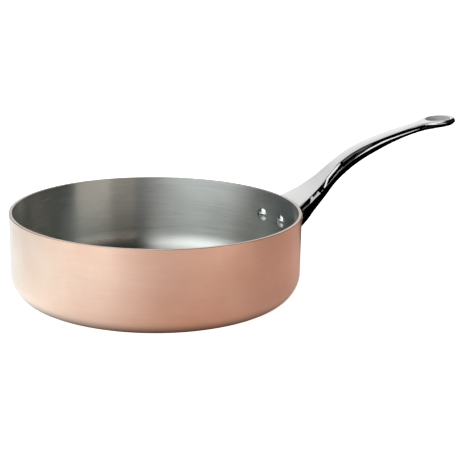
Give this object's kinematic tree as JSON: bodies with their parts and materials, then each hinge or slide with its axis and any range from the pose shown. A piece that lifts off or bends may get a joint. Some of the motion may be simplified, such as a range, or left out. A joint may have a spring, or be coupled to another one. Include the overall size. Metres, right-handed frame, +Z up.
{
  "type": "saucepan",
  "caption": "Straight-sided copper saucepan lined with steel: flat base, rounded bottom corner, and a long upswept cast handle on domed rivets that ends in a hanging eye.",
  "frame": {"origin": "centre of the pan's flat underside", "axes": "+X along the handle, away from the pan; +Z up through the pan's mouth"},
  "size_m": [0.457, 0.245, 0.1267],
  "materials": {
    "copper": "satin brushed copper",
    "lining_steel": "fine brushed stainless steel",
    "cast_steel": "polished cast stainless steel",
    "rivet_steel": "polished stainless steel"
  },
  "bodies": {
    "root": {"copper_shell": "copper", "steel_lining": "lining_steel", "handle": "cast_steel", "rivet_left": "rivet_steel", "rivet_right": "rivet_steel"}
  },
  "joints": []
}
